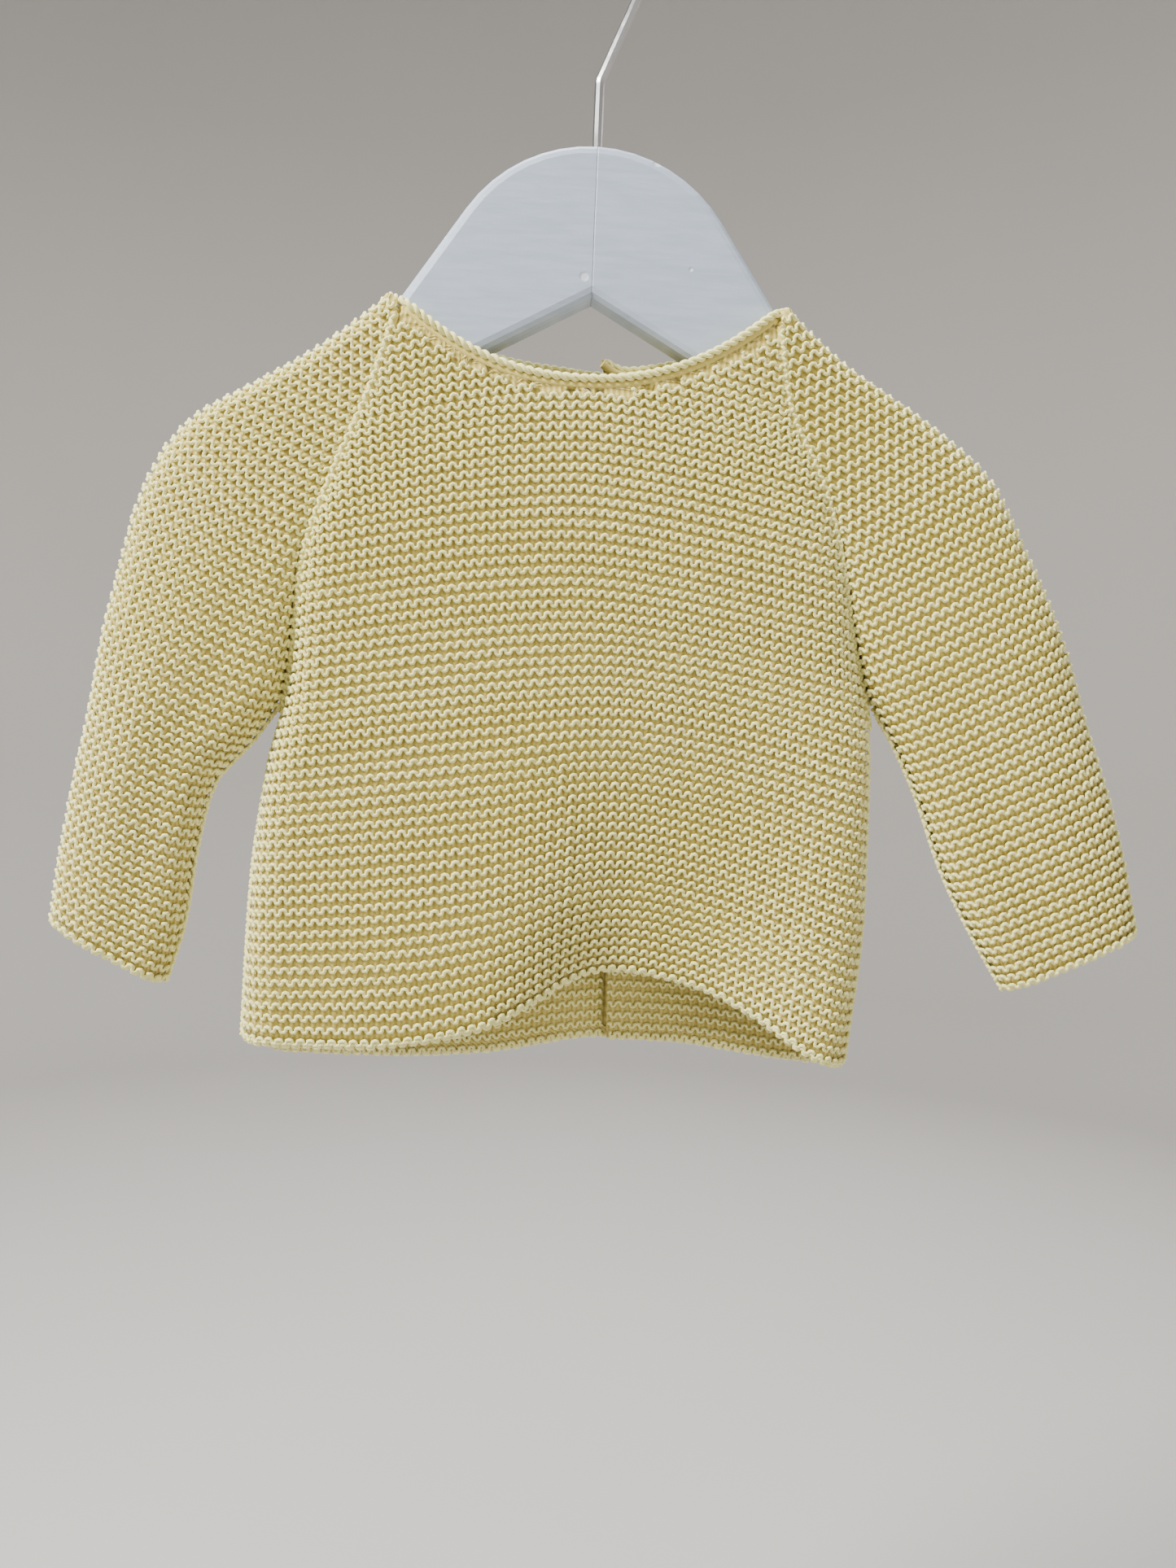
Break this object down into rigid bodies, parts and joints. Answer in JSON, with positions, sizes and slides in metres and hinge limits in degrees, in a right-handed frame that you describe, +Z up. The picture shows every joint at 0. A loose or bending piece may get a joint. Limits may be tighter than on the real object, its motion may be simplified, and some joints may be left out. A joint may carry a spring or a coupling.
{
  "type": "baby sweater on hanger",
  "caption": "Pale yellow garter-stitch raglan baby sweater with a buttoned back, hanging open-hemmed on a flat white wooden hanger with a wire hook.",
  "frame": {"origin": "under the crown of the hanger's hook, where a rail bears", "axes": "+Z up along the hook's stem, +X to the viewer's right across the shoulders, +Y from the front of the sweater to its back"},
  "size_m": [0.389, 0.0436, 0.4157],
  "materials": {
    "cotton_knit": "soft matt cotton, garter stitch",
    "painted_wood": "white satin paint on wood",
    "hook_wire": "bright chromed wire",
    "button": "pale yellow, slightly glossy"
  },
  "bodies": {
    "root": {"front": "cotton_knit", "back_left": "cotton_knit", "back_right": "cotton_knit", "sleeve_left": "cotton_knit", "sleeve_right": "cotton_knit", "neck_edging": "cotton_knit", "hanger_board": "painted_wood", "hanger_hook": "hook_wire", "button_1": "button", "button_2": "button", "button_3": "button", "button_4": "button"}
  },
  "joints": []
}
